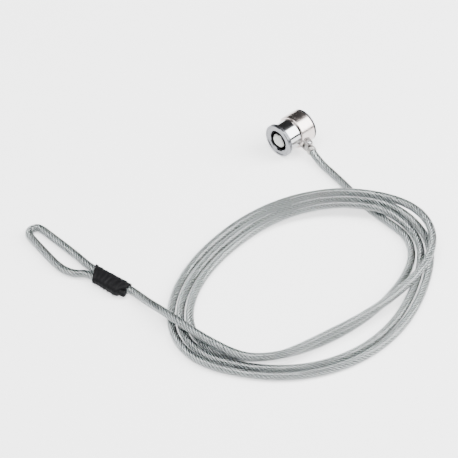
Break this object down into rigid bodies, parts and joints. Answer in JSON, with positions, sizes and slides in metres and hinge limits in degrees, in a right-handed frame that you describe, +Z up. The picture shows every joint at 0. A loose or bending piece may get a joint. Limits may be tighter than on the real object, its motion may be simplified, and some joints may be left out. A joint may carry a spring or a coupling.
{
  "type": "laptop cable lock",
  "caption": "Round cable lock for a portable computer: tubular key cylinder, swivelling collar, T-bar nose and a coated steel cable that ends in a crimped eye loop.",
  "frame": {"origin": "on the resting surface, under the middle of the lock head's bounding box, without the cable", "axes": "+X along the lock's axis from the key face to the T-bar, +Z up from the surface that it lies on"},
  "size_m": [0.1684, 0.186, 0.0185],
  "materials": {
    "chrome": "polished plating over cast zinc",
    "polished_collar": "polished plating, slightly warmer than the barrel",
    "satin_zinc": "satin zinc casting",
    "black_steel": "black bearing plate",
    "hardened_steel": "ground steel",
    "spring_steel": "plain spring steel",
    "terminal_steel": "tumbled steel",
    "pin_steel": "turned steel",
    "pin_brass": "turned brass",
    "brass": "turned brass",
    "coated_cable": "twisted galvanised strands under clear vinyl",
    "ferrule_aluminium": "pressed",
    "black_sleeve": "shrunk, slightly wrinkled"
  },
  "bodies": {
    "cable": {"cable_lead": "coated_cable", "cable_coil": "coated_cable", "cable_tail": "coated_cable", "cable_loop": "coated_cable", "crimp_ferrule": "ferrule_aluminium", "ferrule_sleeve": "black_sleeve", "cable_terminal": "terminal_steel"},
    "swivel": {"swivel_collar": "polished_collar", "tail_pin": "hardened_steel"},
    "lock": {"lock_barrel": "chrome", "front_bezel": "chrome", "nose_plate": "black_steel", "pin_housing": "brass", "roll_pin": "spring_steel", "driver_pin_1": "pin_brass", "driver_pin_2": "pin_brass", "driver_pin_3": "pin_brass", "driver_pin_4": "pin_brass", "driver_pin_5": "pin_brass", "driver_pin_6": "pin_brass", "driver_pin_7": "pin_brass", "pin_spring_1": "spring_steel", "pin_spring_2": "spring_steel", "pin_spring_3": "spring_steel", "pin_spring_4": "spring_steel", "pin_spring_5": "spring_steel", "pin_spring_6": "spring_steel", "pin_spring_7": "spring_steel"},
    "core": {"key_plug": "satin_zinc", "t_bar": "hardened_steel", "core_clip": "spring_steel", "stop_pin": "hardened_steel"},
    "pin_1": {"key_pin_1": "pin_steel"},
    "pin_2": {"key_pin_2": "pin_steel"},
    "pin_3": {"key_pin_3": "pin_steel"},
    "pin_4": {"key_pin_4": "pin_steel"},
    "pin_5": {"key_pin_5": "pin_steel"},
    "pin_6": {"key_pin_6": "pin_steel"},
    "pin_7": {"key_pin_7": "pin_steel"}
  },
  "joints": [
    {"name": "tail_pivot", "type": "hinge", "parent": "cable", "child": "swivel", "pos_m": [0.0003, -0.00846, 0.00582], "axis": [0, -0.309, 0.9511], "range_deg": [-61, 39]},
    {"name": "swivel_turn", "type": "hinge", "parent": "swivel", "child": "lock", "pos_m": [0.00225, 0.0021, 0.00925], "axis": [1, 0, 0], "continuous": true},
    {"name": "core_turn", "type": "hinge", "parent": "lock", "child": "core", "pos_m": [-0.00705, 0.0021, 0.00925], "axis": [1, 0, 0], "range_deg": [0, 90]},
    {"name": "key_pin_1_slide", "type": "slide", "parent": "core", "child": "pin_1", "axis": [1, 0, 0], "range_m": [0, 0.0013], "stiffness_N_per_m": 50, "springref_m": -0.001},
    {"name": "key_pin_2_slide", "type": "slide", "parent": "core", "child": "pin_2", "axis": [1, 0, 0], "range_m": [0, 0.0009], "stiffness_N_per_m": 50, "springref_m": -0.001},
    {"name": "key_pin_3_slide", "type": "slide", "parent": "core", "child": "pin_3", "axis": [1, 0, 0], "range_m": [0, 0.0005], "stiffness_N_per_m": 50, "springref_m": -0.001},
    {"name": "key_pin_4_slide", "type": "slide", "parent": "core", "child": "pin_4", "axis": [1, 0, 0], "range_m": [0, 0.0011], "stiffness_N_per_m": 50, "springref_m": -0.001},
    {"name": "key_pin_5_slide", "type": "slide", "parent": "core", "child": "pin_5", "axis": [1, 0, 0], "range_m": [0, 0.0007], "stiffness_N_per_m": 50, "springref_m": -0.001},
    {"name": "key_pin_6_slide", "type": "slide", "parent": "core", "child": "pin_6", "axis": [1, 0, 0], "range_m": [0, 0.0012], "stiffness_N_per_m": 50, "springref_m": -0.001},
    {"name": "key_pin_7_slide", "type": "slide", "parent": "core", "child": "pin_7", "axis": [1, 0, 0], "range_m": [0, 0.0008], "stiffness_N_per_m": 50, "springref_m": -0.001}
  ],
  "couplings": [
    {"joint": "key_pin_2_slide", "follows": "key_pin_1_slide", "ratio": 0.69231},
    {"joint": "key_pin_3_slide", "follows": "key_pin_1_slide", "ratio": 0.38462},
    {"joint": "key_pin_4_slide", "follows": "key_pin_1_slide", "ratio": 0.84615},
    {"joint": "key_pin_5_slide", "follows": "key_pin_1_slide", "ratio": 0.53846},
    {"joint": "key_pin_6_slide", "follows": "key_pin_1_slide", "ratio": 0.92308},
    {"joint": "key_pin_7_slide", "follows": "key_pin_1_slide", "ratio": 0.61538}
  ]
}
